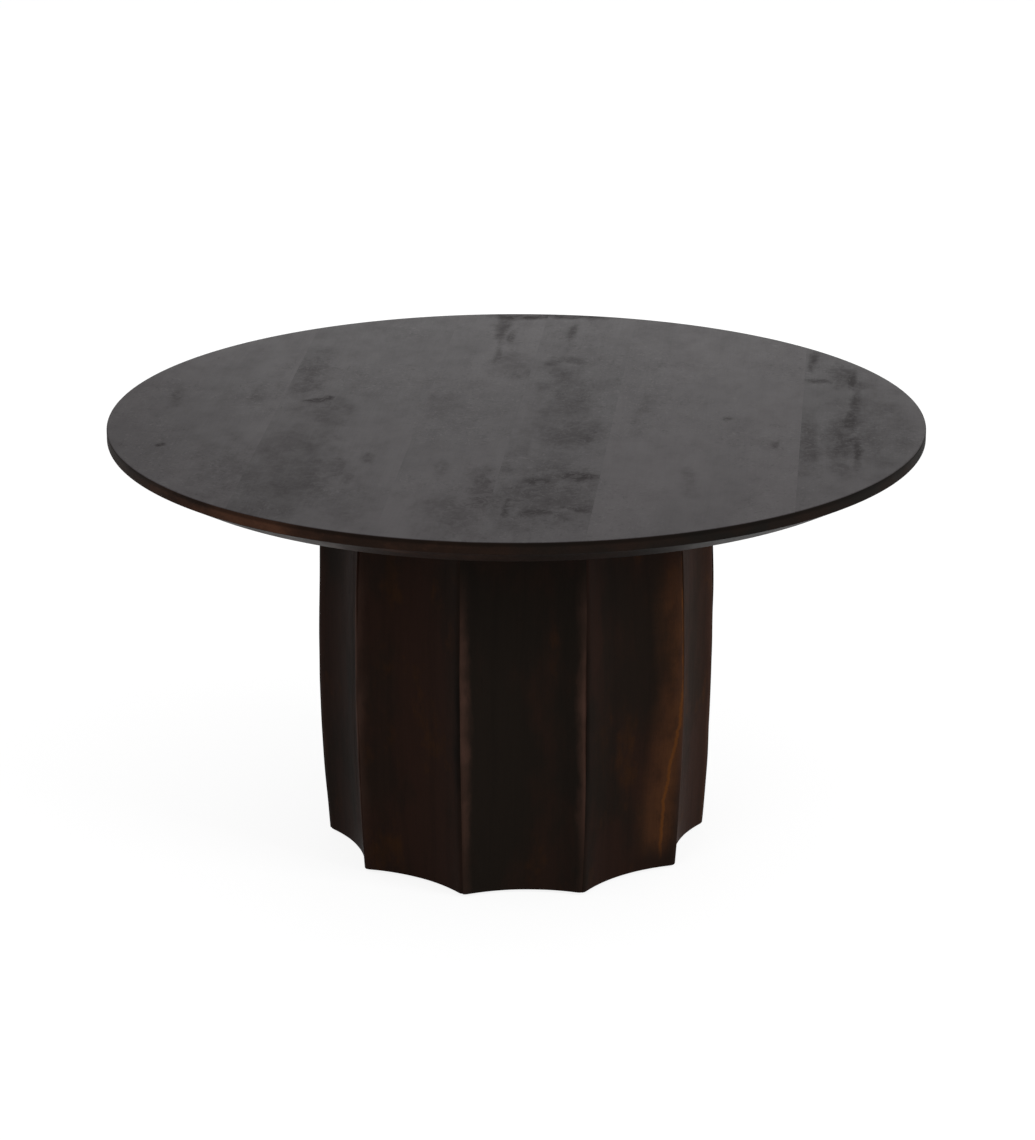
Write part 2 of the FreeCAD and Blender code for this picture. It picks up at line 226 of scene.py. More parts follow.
# The strongest figure on each board of the top, as (across, along, half width, half length, strength)
topFigure = {
    1: ((-0.352, -0.127, 0.005, 0.006, 1.3), (-0.362, 0.050, 0.007, 0.040, 0.35),
        (-0.300, -0.230, 0.010, 0.070, 0.25), (-0.280, 0.060, 0.007, 0.050, 0.3),
        (-0.268, -0.250, 0.040, 0.120, 0.3)),
    2: ((-0.222, 0.048, 0.015, 0.010, 1.1), (-0.208, 0.052, 0.007, 0.012, 1.1),
        (-0.202, 0.000, 0.024, 0.060, 0.5), (-0.234, 0.140, 0.017, 0.090, 0.55),
        (-0.215, -0.130, 0.040, 0.070, 0.5), (-0.205, -0.240, 0.046, 0.090, 0.5),
        (-0.166, -0.195, 0.010, 0.040, 0.45), (-0.150, -0.230, 0.008, 0.030, 0.4),
        (-0.215, -0.320, 0.030, 0.050, 0.35), (-0.135, -0.160, 0.006, 0.016, 0.45),
        (-0.135, -0.320, 0.026, 0.050, 0.3)),
    3: ((-0.044, 0.355, 0.006, 0.042, 0.75), (-0.030, 0.325, 0.005, 0.028, 0.75),
        (-0.043, 0.255, 0.004, 0.050, 0.55), (-0.020, 0.416, 0.040, 0.012, 1.1),
        (-0.022, 0.210, 0.024, 0.050, 0.35), (-0.012, -0.270, 0.016, 0.060, 0.75),
        (-0.060, -0.195, 0.006, 0.030, 0.45), (-0.030, -0.335, 0.036, 0.080, 0.45),
        (-0.090, 0.030, 0.030, 0.060, 0.25)),
    4: ((0.034, 0.416, 0.040, 0.012, 1.1), (0.034, 0.340, 0.005, 0.060, 0.75),
        (0.032, 0.225, 0.018, 0.016, 0.7), (0.034, 0.180, 0.014, 0.050, 0.45),
        (0.046, 0.080, 0.030, 0.110, 0.38), (0.062, -0.055, 0.034, 0.060, 0.50),
        (0.078, -0.078, 0.010, 0.024, 0.6), (0.050, -0.060, 0.006, 0.030, 0.6),
        (0.016, -0.100, 0.012, 0.060, 0.3), (0.080, -0.203, 0.019, 0.020, 1.2),
        (0.034, -0.222, 0.020, 0.018, 1.0), (0.050, -0.270, 0.054, 0.090, 0.65),
        (0.078, -0.285, 0.026, 0.040, 0.7), (0.019, -0.310, 0.006, 0.032, 1.15),
        (0.046, -0.334, 0.024, 0.010, 1.0), (0.080, -0.312, 0.019, 0.010, 1.0),
        (0.008, -0.290, 0.012, 0.050, 0.5)),
    5: ((0.220, 0.012, 0.006, 0.009, 0.9), (0.190, -0.200, 0.006, 0.050, 0.3),
        (0.130, 0.030, 0.006, 0.100, 0.25), (0.272, -0.090, 0.004, 0.012, 0.6)),
    6: ((0.303, 0.245, 0.005, 0.040, 0.8), (0.312, 0.165, 0.014, 0.010, 0.8),
        (0.332, 0.200, 0.014, 0.040, 0.6), (0.346, 0.180, 0.006, 0.030, 1.0),
        (0.354, 0.085, 0.007, 0.080, 0.9), (0.349, 0.010, 0.007, 0.050, 0.9),
        (0.338, -0.050, 0.016, 0.080, 0.7), (0.355, -0.090, 0.006, 0.060, 1.0),
        (0.304, -0.060, 0.012, 0.090, 0.6), (0.334, -0.130, 0.012, 0.060, 0.6),
        (0.370, 0.000, 0.030, 0.140, 0.35)),
}

figureStyle = {
    "fade": (1.7, 0.1),                # where a mark starts and is at its full strength, in half sizes
    "wobble": 1.9,                     # how far its edge breaks up, in half sizes
    "flameScales": (19, 19, 10), "flameDetail": 3, "flameRoughness": 0.55,
    "flamePush": (0, 0.028, 0.06),     # how far the flames push a mark across and along
    "darkest": 0.95,
}

# The band of darker heartwood that runs the length of the second board
heartwood = {
    "board": 2, "ragged": 0.03,
    "rightSide": (-0.177, -0.195, 0, 0.27), "along": (0.24, -0.12, 0.25, 1),
}

# The rim and the under-bevel. Their shares go by the face's slope, the place across the table or the height.
topRim = {
    "brown": (0.0190, 0.0108, 0.0078, 1), "warm": (0.074, 0.033, 0.0195, 1),
    "grey": (0.0100, 0.0084, 0.0072, 1), "dark": (0.0035, 0.0030, 0.0024, 1),
    "slope": (0.93, 0.6), "upright": (-0.7, -0.3),
    "warmLeft": (-0.42, -0.30, 0.55, 1.15), "greyRight": (-0.14, 0.26, 0, -0.9),
    "patchMiddle": -0.214, "patch": (0.095, 0, 0, 0.9),     # where the stain let a warm colour through
    "patchy": (0.3, 0.7, -0.4, 0.4), "toWarm": (1.0, 2.2),
    "fibre": (0.62, 0.36, 0, 0.15), "darkLine": (0.4545, 0.4575, 0, 0.55),
    "roughness": 0.2, "underShare": 0.3,
}


def markStrength(tree, place, wobble, mark):
    # A patch of figure at one spot, with an edge that breaks up.
    across, along, halfWidth, halfLength, strength = mark
    centred = vectorCalc(tree, "SUBTRACT", place, (0, across, along))
    scaled = stretch(tree, centred, 0, 1 / halfWidth, 1 / halfLength)
    reach = plus(tree, vectorCalc(tree, "LENGTH", scaled), wobble)
    return ramp(tree, reach, *figureStyle["fade"], 0, strength)


def makeTopWood():
    material, tree, shader = newMaterial("stained top wood")
    place, seed, moved, wood = woodCoordinates(tree, topWood["wander"])
    height, across, along = split(tree, place)

    def share(name, value):
        return ramp(tree, value, *topShares[name])

    def isBoard(board):
        return calc(tree, "COMPARE", seed, board, 0.5)

    broad, bands, fibre, pores, curls = (
        pattern(tree, wood, *topPatterns[name]) for name in ("broad", "bands", "fibre", "pores", "curls"))
    cloud, specks, flecks = (
        pattern(tree, moved, *topPatterns[name]) for name in ("cloud", "specks", "flecks"))
    curly, rimPatches = (
        pattern(tree, place, *topPatterns[name]) for name in ("curly", "rimPatches"))

    color = blendColor(tree, share("light", broad), topWood["grey"], topWood["light"])
    color = blendColor(tree, share("bands", bands), color, topWood["dark"])
    color = blendColor(tree, share("cloud", cloud), color, topWood["dark"])
    inCurly = share("curly", curly)
    color = blendColor(tree, times(tree, share("lightFlecks", flecks), inCurly), color, topWood["fleck"])
    color = blendColor(tree, times(tree, share("darkFlecks", flecks), inCurly), color, topWood["dark"])

    # Heartwood band
    ragged = plus(tree, across, times(tree, minus(tree, bands, 0.5), heartwood["ragged"]))
    inBand = times(tree, isBoard(heartwood["board"]), ramp(tree, along, *heartwood["along"]))
    inBand = times(tree, inBand, ramp(tree, ragged, *heartwood["rightSide"]))

    # Figure: curled strokes inside the marks, which flames push about and cloud breaks up at their edges
    wobble = times(tree, minus(tree, cloud, 0.5), figureStyle["wobble"])
    flames = push(tree, stretch(tree, moved, *figureStyle["flameScales"]), figureStyle["flameDetail"],
                  figureStyle["flameRoughness"])
    warped = vectorCalc(tree, "ADD", place, stretch(tree, flames, *figureStyle["flamePush"]))
    figure = 0.0
    for board, marks in topFigure.items():
        strongest = 0.0
        for mark in marks:
            strongest = calc(tree, "MAXIMUM", strongest, markStrength(tree, warped, wobble, mark))
        figure = calc(tree, "MULTIPLY_ADD", isBoard(board), strongest, figure)
    hairline = calc(tree, "ABSOLUTE", minus(tree, curls, 0.5))
    strokes = times(tree, plus(tree, share("curls", curls), share("hairlines", hairline)), figure)
    darkest = calc(tree, "MAXIMUM", strokes, inBand)
    darkening = calc(tree, "MULTIPLY", darkest, figureStyle["darkest"], clamp=True)
    color = blendColor(tree, darkening, color, topWood["dark"])

    color = blendColor(tree, share("fibre", fibre), color, topWood["dark"])
    color = blendColor(tree, share("pores", pores), color, topWood["dark"])
    color = blendColor(tree, share("specks", specks), color, topWood["dark"])
    toned = blendColor(tree, 1.0, color, pieceValue(tree, "woodTone"), "MULTIPLY")

    # The rim and the under-bevel took the stain darker and redder than the sanded top
    facing = split(tree, tree.nodes.new("ShaderNodeNewGeometry").outputs["Normal"])["Z"]
    onSide = ramp(tree, facing, *topRim["slope"])
    onRim = ramp(tree, facing, *topRim["upright"])
    fromPatch = calc(tree, "ABSOLUTE", minus(tree, across, topRim["patchMiddle"]))
    inPatch = times(tree, onRim, ramp(tree, fromPatch, *topRim["patch"]))
    warm = plus(tree, ramp(tree, across, *topRim["warmLeft"]), ramp(tree, across, *topRim["greyRight"]))
    warm = plus(tree, plus(tree, warm, inPatch), ramp(tree, rimPatches, *topRim["patchy"]))
    edge = blendColor(tree, ramp(tree, warm, 0.0, 1.0, kind="LINEAR"), topRim["grey"], topRim["brown"])
    edge = blendColor(tree, ramp(tree, warm, *topRim["toWarm"]), edge, topRim["warm"])
    edge = blendColor(tree, ramp(tree, fibre, *topRim["fibre"]), edge, topRim["dark"])
    edge = blendColor(tree, ramp(tree, height, *topRim["darkLine"]), edge, topRim["dark"])

    rough = plus(tree, topWood["roughness"], share("fibreRough", fibre))
    rough = plus(tree, rough, share("cloudRough", cloud))
    rough = calc(tree, "MULTIPLY_ADD", strokes, topWood["figureRoughness"], rough)
    rougher = times(tree, onSide, ramp(tree, onRim, 0, 1, topRim["underShare"], 1, "LINEAR"))
    rough = calc(tree, "MULTIPLY_ADD", rougher, topRim["roughness"], rough)
    fillSockets(tree, shader, {
        "Base Color": blendColor(tree, onSide, toned, edge), "Roughness": rough,
        "Specular IOR Level": topWood["specular"]})

    relief = plus(tree, times(tree, fibre, topWood["fibreRelief"]), share("poreRelief", pores))
    relief = plus(tree, relief, times(tree, broad, topWood["broadRelief"]))
    addBump(tree, shader, relief, topWood["bump"], topWood["bumpDepth"])
    return material


staveWood = {
    "espresso": (0.0103, 0.0074, 0.0055, 1), "red": (0.0190, 0.0090, 0.0062, 1),
    "black": (0.0035, 0.0030, 0.0024, 1), "amber": (0.028, 0.0118, 0.0048, 1),
    # The first colour on the next line is painted highlight, put beside the arrises
    "arrisLight": (0.054, 0.0280, 0.0205, 1), "sapwood": (0.105, 0.036, 0.0085, 1),
    "glow": (0.058, 0.0235, 0.0105, 1),
    "wander": 0.03, "roughness": 0.5, "specular": 0.004, "coat": 0.030, "coatRoughness": 0.22,
    "bump": 0.15, "bumpDepth": 0.0004, "fibreRelief": 0.5,
}

stavePatterns = {
    "broad": ((13, 13, 6), 5, 0.6),
    "bands": ((80, 80, 2.0), 4, 0.6),
    "fibre": ((600, 600, 9), 4, 0.62),
    "pores": ((1300, 1300, 50), 2, 0.6),
    "amber": ((22, 22, 14), 5, 0.62),
    # The next two patterns wander and break up the painted highlight and shade beside the arrises
    "arrisLightEdges": ((30, 30, 12), 5, 0.65),
    "arrisLightGaps": ((20, 20, 16), 3, 0.5),
    "waver": ((0, 0, 45), 4, 0.6),
}

staveShares = {
    "warm": (0.36, 0.66),
    "red": (0.0, 1.2),
    "amber": (0.54, 0.68),
    "amberWarm": (0.2, 1.0, 0, 0.8),
    "bands": (0.54, 0.34, 0, 0.16),
    "fibre": (0.62, 0.34, 0, 0.09),
    "pores": (0.34, 0.26, 0, 0.4),
    "fibreRough": (0.3, 0.7, 0.06, -0.06),
    "broadRough": (0.3, 0.7, 0.05, -0.05),
    "poreRelief": (0.27, 0.37),
    # The next four shape the painted highlight and shade beside the arrises: its reach from the flute's
    # middle, its fading towards the foot, its fading into painted shadow under the top, and its breaking up
    "arrisLightStrip": (0.051, 0.063),          # from the middle of the flute to the arris
    "arrisLightFoot": (0.02, 0.15, 0.2, 1),
    "arrisLightTop": (0.365, 0.27),
    "arrisLightGaps": (0.36, 0.60, 0.45, 1.1),
    "lean": (0.215, 0.05, 0, 0.019),      # by height: the sapwood line leans in towards the foot
    "lineLeft": (-0.0030, -0.0006),
    "lineRight": (0.0022, 0.0004),
    "glowLeft": (-0.040, -0.001),
    "glowRight": (0.018, 0.0),
    "glowAmber": (0.34, 0.62, 0.35, 1.0),
    "sapwoodTop": (0.36, 0.29),
    "sapwoodFoot": (0.005, 0.04),
}

arrisLightWaver = 0.020          # how far the edges of the painted highlight and shade strips wander
sapwoodLine = {"waver": 0.014, "strength": 0.7}


def makeStaveWood():
    material, tree, shader = newMaterial("espresso stave wood")
    place, _, moved, wood = woodCoordinates(tree, staveWood["wander"])
    _, across, height = split(tree, place)

    def share(name, value):
        return ramp(tree, value, *staveShares[name])

    broad, bands, fibre, pores = (
        pattern(tree, wood, *stavePatterns[name]) for name in ("broad", "bands", "fibre", "pores"))
    amber, arrisLightEdges, arrisLightGaps, waver = (
        pattern(tree, moved, *stavePatterns[name]) for name in ("amber", "arrisLightEdges", "arrisLightGaps", "waver"))

    warm = plus(tree, share("warm", broad), pieceValue(tree, "woodRedness"))
    color = blendColor(tree, share("red", warm), staveWood["espresso"], staveWood["red"])
    inAmber = times(tree, share("amber", amber), share("amberWarm", warm))
    color = blendColor(tree, inAmber, color, staveWood["amber"])
    color = blendColor(tree, share("bands", bands), color, staveWood["black"])

    # Beside the arrises: painted highlight where the value is above nought, and painted shade, towards black,
    # where it is below nought. It fades out into painted shadow under the top and weakens towards the foot.
    reach = times(tree, minus(tree, arrisLightEdges, 0.5), arrisLightWaver)
    right = times(tree, share("arrisLightStrip", plus(tree, across, reach)), pieceValue(tree, "arrisLightRight"))
    left = times(tree, share("arrisLightStrip", minus(tree, reach, across)), pieceValue(tree, "arrisLightLeft"))
    here = times(tree, share("arrisLightFoot", height), share("arrisLightTop", height), share("arrisLightGaps", arrisLightGaps))
    arrisLight = times(tree, plus(tree, right, left), here)
    # Painted highlight where the value is above nought
    color = blendColor(tree, calc(tree, "MULTIPLY", arrisLight, 1, clamp=True), color, staveWood["arrisLight"])
    # Painted shade where the value is below nought
    color = blendColor(tree, calc(tree, "MULTIPLY", arrisLight, -1, clamp=True), color, staveWood["black"])

    # Sapwood left beside one mitre: a bright line wanders in towards the foot, with a glow beside it
    line = minus(tree, pieceValue(tree, "sapwoodEdge"), share("lean", height))
    line = plus(tree, line, times(tree, minus(tree, waver, 0.5), sapwoodLine["waver"]))
    past = minus(tree, across, line)
    thin = times(tree, share("lineLeft", past), share("lineRight", past))
    glow = times(tree, share("glowLeft", past), share("glowRight", past), share("glowAmber", amber))
    ends = times(tree, share("sapwoodTop", height), share("sapwoodFoot", height))
    color = blendColor(tree, times(tree, glow, ends), color, staveWood["glow"])
    color = blendColor(tree, times(tree, thin, sapwoodLine["strength"], ends), color, staveWood["sapwood"])

    color = blendColor(tree, share("fibre", fibre), color, staveWood["black"])
    color = blendColor(tree, share("pores", pores), color, staveWood["black"])
    toned = blendColor(tree, 1.0, color, pieceValue(tree, "woodTone"), "MULTIPLY")

    rough = plus(tree, staveWood["roughness"], share("fibreRough", fibre))
    rough = plus(tree, rough, share("broadRough", broad))
    fillSockets(tree, shader, {
        "Base Color": toned, "Roughness": rough, "Specular IOR Level": staveWood["specular"],
        "Coat Weight": staveWood["coat"], "Coat Roughness": staveWood["coatRoughness"]})

    relief = plus(tree, times(tree, fibre, staveWood["fibreRelief"]), share("poreRelief", pores))
    addBump(tree, shader, relief, staveWood["bump"], staveWood["bumpDepth"])
    return material


innerWood = {
    "pale": (0.30, 0.175, 0.09, 1), "brown": (0.20, 0.11, 0.055, 1), "fibreColor": (0.12, 0.062, 0.03, 1),
    "broad": ((20, 4, 20), 4, 0.6), "fibre": ((700, 18, 700), 4, 0.6),
    "brownShare": (0.35, 0.7), "fibreShare": (0.6, 0.36, 0, 0.5), "roughness": (0.3, 0.7, 0.72, 0.6),
    "bump": 0.3, "bumpDepth": 0.0004,
}


def makeInnerWood():
    material, tree, shader = newMaterial("plain inner wood")
    place = addNode(tree, "ShaderNodeTexCoord").outputs["Object"]
    broad = pattern(tree, place, *innerWood["broad"])
    fibre = pattern(tree, place, *innerWood["fibre"])
    brownShare = ramp(tree, broad, *innerWood["brownShare"])
    color = blendColor(tree, brownShare, innerWood["pale"], innerWood["brown"])
    color = blendColor(tree, ramp(tree, fibre, *innerWood["fibreShare"]), color, innerWood["fibreColor"])
    fillSockets(tree, shader, {"Base Color": color, "Roughness": ramp(tree, fibre, *innerWood["roughness"])})
    addBump(tree, shader, fibre, innerWood["bump"], innerWood["bumpDepth"])
    return material


platedSteel = {
    "dull": (0.42, 0.41, 0.38, 1), "bright": (0.60, 0.59, 0.56, 1), "cloudScale": 120, "cloudDetail": 4,
    "roughness": (0.3, 0.7, 0.30, 0.46), "bump": 0.1, "bumpDepth": 0.0002,
}


def makePlatedSteel():
    material, tree, shader = newMaterial("dull plated steel")
    place = addNode(tree, "ShaderNodeTexCoord").outputs["Object"]
    cloud = noise(tree, place, platedSteel["cloudScale"], platedSteel["cloudDetail"])
    fillSockets(tree, shader, {
        "Base Color": blendColor(tree, cloud, platedSteel["dull"], platedSteel["bright"]),
        "Roughness": ramp(tree, cloud, *platedSteel["roughness"]), "Metallic": 1.0})
    addBump(tree, shader, cloud, platedSteel["bump"], platedSteel["bumpDepth"])
    return material


woolFelt = {
    "dark": (0.018, 0.017, 0.016, 1), "pale": (0.06, 0.057, 0.053, 1),
    "hair": (900, 6, 0.7, 1.5), "paleShare": (0.35, 0.65),     # scale, detail, roughness, distortion
    "roughness": 0.95, "sheen": 0.25, "bump": 0.8, "bumpDepth": 0.0006,
}


def makeFelt():
    material, tree, shader = newMaterial("dark wool felt")
    place = addNode(tree, "ShaderNodeTexCoord").outputs["Object"]
    hair = noise(tree, place, *woolFelt["hair"])
    color = blendColor(tree, ramp(tree, hair, *woolFelt["paleShare"]), woolFelt["dark"], woolFelt["pale"])
    fillSockets(tree, shader, {
        "Base Color": color, "Roughness": woolFelt["roughness"], "Sheen Weight": woolFelt["sheen"]})
    addBump(tree, shader, hair, woolFelt["bump"], woolFelt["bumpDepth"])
    return material


topMaterial = makeTopWood()
staveMaterial = makeStaveWood()
innerMaterial = makeInnerWood()
steelMaterial = makePlatedSteel()
feltMaterial = makeFelt()
print("materials made")


def setPieceValues(mesh, values):
    for name, number in values.items():
        attribute = mesh.attributes.new(name, "FLOAT", "POINT")
        attribute.data.foreach_set("value", [number] * len(mesh.vertices))


def smoothMesh(mesh, sharpFrom):
    mesh.shade_smooth()
    mesh.set_sharp_from_angle(angle=sharpFrom)


def addPiece(name, mesh, slotName, *replaced):
    piece = bpy.data.objects.new(name, mesh)
    bpy.context.scene.collection.objects.link(piece)
    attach(piece, "root")
    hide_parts(*replaced)
    return piece


# Round top: one turned disc, cut into planks

top = {
    "boards": 6,
    "segments": 288,
    "bevelRun": 0.035, "bevelDrop": 0.018,
    "rimRound": 0.0015, "bevelRound": 0.0012,
    "hold": 0.0006,            # narrow flat beside each rounded edge, to keep the wide faces flat
    "cornerSteps": 5,
    "sliver": 0.000002, "flatWithin": radians(0.01), "sharpFrom": radians(30),
    "tones": (1.00, 0.97, 1.00, 0.91, 1.05, 0.89),
}


def roundCorner(before, corner, after, reach, steps):
    # Points of a smooth corner between two straight runs, in the plane of the outline.
    start = corner + (before - corner).normalized() * reach
    stop = corner + (after - corner).normalized() * reach
    points = []
    for step in range(steps + 1):
        share = step / steps
        points.append(start.lerp(corner, share).lerp(corner.lerp(stop, share), share))
    return points


def makeTopOutline(radius, low, high):
    # Half the section of the disc, from the middle of its face round the rim to the middle underneath.
    corners = [
        Vector((0, high)), Vector((radius, high)), Vector((radius, low + top["bevelDrop"])),
        Vector((radius - top["bevelRun"], low)), Vector((0, low)),
    ]
    rounds = (top["rimRound"], top["bevelRound"], top["bevelRound"])
    points = [corners[0]]
    for index, reach in enumerate(rounds, start=1):
        before, corner, after = corners[index - 1:index + 2]
        smooth = roundCorner(before, corner, after, reach, top["cornerSteps"])
        points.append(smooth[0] + (before - corner).normalized() * top["hold"])
        points += smooth
        points.append(smooth[-1] + (after - corner).normalized() * top["hold"])
    points.append(corners[-1])
    return points


def turnRows(rows, segments, closed=False):
    # Turns rows of (radius, height) about the upright axis. A radius may be a rule that takes the turn.
    made = bmesh.new()
    turns = [2 * pi * step / segments for step in range(segments)]
    rings = []
    for radius, height in rows:
        if radius == 0:
            rings.append([made.verts.new((0, 0, height))])
            continue
        reaches = [radius(turn) if callable(radius) else radius for turn in turns]
        rings.append([made.verts.new((reach * cos(turn), reach * sin(turn), height))
                      for reach, turn in zip(reaches, turns)])
    for upper, lower in zip(rings, rings[1:] + rings[:1] if closed else rings[1:]):
        for step in range(segments):
            after = (step + 1) % segments
            if len(upper) == 1:
                made.faces.new((upper[0], lower[step], lower[after]))
            elif len(lower) == 1:
                made.faces.new((upper[after], upper[step], lower[0]))
            else:
                made.faces.new((upper[after], upper[step], lower[step], lower[after]))
    bmesh.ops.recalc_face_normals(made, faces=made.faces)
    return made


def cutAt(made, place, keepRight):
    # Cuts a mesh by an upright plane across X and closes the cut.
    everything = made.verts[:] + made.edges[:] + made.faces[:]
    side = -1 if keepRight else 1
    cut = bmesh.ops.bisect_plane(
        made, geom=everything, plane_co=(place, 0, 0), plane_no=(side, 0, 0), clear_outer=True)
    edges = [item for item in cut["geom_cut"] if isinstance(item, bmesh.types.BMEdge)]
    bmesh.ops.contextual_create(made, geom=edges)


def makeBoard(index):
    name = f"top_board_{index + 1}"
    low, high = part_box(name)
    tableLow, tableHigh = cadBounds
    outline = makeTopOutline((tableHigh[0] - tableLow[0]) / 2, low[2], high[2])
    made = turnRows([(point.x, point.y) for point in outline], top["segments"])
    if index > 0:
        cutAt(made, low[0], True)
    if index < top["boards"] - 1:
        cutAt(made, high[0], False)
    bmesh.ops.dissolve_degenerate(made, dist=top["sliver"], edges=made.edges)
    bmesh.ops.dissolve_limit(made, angle_limit=top["flatWithin"], verts=made.verts, edges=made.edges)
    bmesh.ops.recalc_face_normals(made, faces=made.faces)
    mesh = bpy.data.meshes.new(f"{name}_look")
    made.to_mesh(mesh)
    made.free()

    places = [part for vert in mesh.vertices for part in (vert.co.z, vert.co.x, vert.co.y)]
    mesh.attributes.new("woodPlace", "FLOAT_VECTOR", "POINT").data.foreach_set("vector", places)
    setPieceValues(mesh, {"woodSeed": index + 1.0, "woodTone": top["tones"][index]})
    mesh.materials.append(topMaterial)
    smoothMesh(mesh, top["sharpFrom"])
    addPiece(f"{name}_look", mesh, "top_wood", name)


for board in range(top["boards"]):
    makeBoard(board)
print("top boards made")


# Geometry trees: their inputs, their end, and the plain mesh that one gives

def newGeometryTree(name, inputs):
    tree = bpy.data.node_groups.new(name, "GeometryNodeTree")
    for label, kind in inputs:
        tree.interface.new_socket(label, in_out="INPUT", socket_type=f"NodeSocket{kind}")
    tree.interface.new_socket("Geometry", in_out="OUTPUT", socket_type="NodeSocketGeometry")
    return tree, {socket.name: socket for socket in tree.nodes.new("NodeGroupInput").outputs if socket.name}


def finishTree(tree, geometry, material):
    real = addNode(tree, "GeometryNodeRealizeInstances", {"Geometry": geometry})
    finished = addNode(tree, "GeometryNodeSetMaterial", {"Geometry": real.outputs[0], "Material": material})
    addNode(tree, "NodeGroupOutput", {"Geometry": finished.outputs[0]})


def growMesh(name, tree, values):
    # Runs a geometry tree with these inputs and keeps the result as a plain mesh.
    holder = bpy.data.objects.new(f"{name}_rule", bpy.data.meshes.new(f"{name}_rule"))
    bpy.context.scene.collection.objects.link(holder)
    modifier = holder.modifiers.new("rule", "NODES")
    modifier.node_group = tree
    for item in tree.interface.items_tree:
        if item.in_out == "INPUT" and item.name in values:
            modifier[item.identifier] = values[item.name]
    graph = bpy.context.evaluated_depsgraph_get()
    mesh = bpy.data.meshes.new_from_object(
        holder.evaluated_get(graph), preserve_all_data_layers=True, depsgraph=graph)
    mesh.name = name
    holder.modifiers.remove(modifier)
    bpy.data.objects.remove(holder)
    return mesh


# Drum: each stave is a rule in geometry nodes, from a block of rows, columns and two depths

drum = {
    "staves": 10,
    "firstTurn": radians(-83),
    "rows": 78, "columns": 56,
    "easeRow": 4, "rebateRow": 8,      # the rows, from either end, at which the ease and the rebate stop
    "mergeWithin": 0.000005,
    "sharpFrom": radians(35),
    "firstWoodSeed": 11.0,             # past the seeds of the boards
    "handSeedStep": 7.3,
    # What follows goes into the tree by name
    "Arris Radius": 0.210,
    "Arris Radius At Ends": 0.2007,
    "Flute Axis": 0.33869,
    "Flute Bottom": 0.18672,
    "Flute Swell": 0.007,
    "Inner Flat": 0.155,
    "Rebate Radius": 0.168,
    "Rebate Depth": 0.018,
    "Softness": 0.003,
    "Foot Ease": 0.0012,
    "Hand Work": 0.0007,
    "Arris Wander": 0.0016,
}

# How finely the hand work is drawn, and how far apart the patterns of a stave's two arrises are
handWork = {
    "arrisScale": 5.5, "arrisShift": 3.7, "arrisShare": (0.35, 0.7),
    "turnScale": 5, "heightScale": 9, "detail": 2,
}

noSapwood = 1.0      # a place far past the stave's edge

# Each stave's tone, redness, place of the sapwood line if it has one, and painted highlight (above nought) or
# painted shade (below nought) at its left and right arris
staveLooks = (
    (1.12, -0.30, noSapwood, 1.3, 0.9), (1.08, 0.30, 0.0645, -0.6, 0.5), (1.70, 0.45, noSapwood, 0.2, 0.4),
    (1.0, 0.10, noSapwood, 0.3, 0.5), (1.0, 0.30, noSapwood, 0.6, 0.2), (0.95, 0.0, noSapwood, 0.3, 0.4),
    (1.05, 0.25, noSapwood, 0.2, 0.6), (1.0, 0.10, noSapwood, 0.5, 0.3), (0.90, 0.25, noSapwood, 0.3, 1.0),
    (1.10, 0.55, noSapwood, 0.5, -0.7),
)


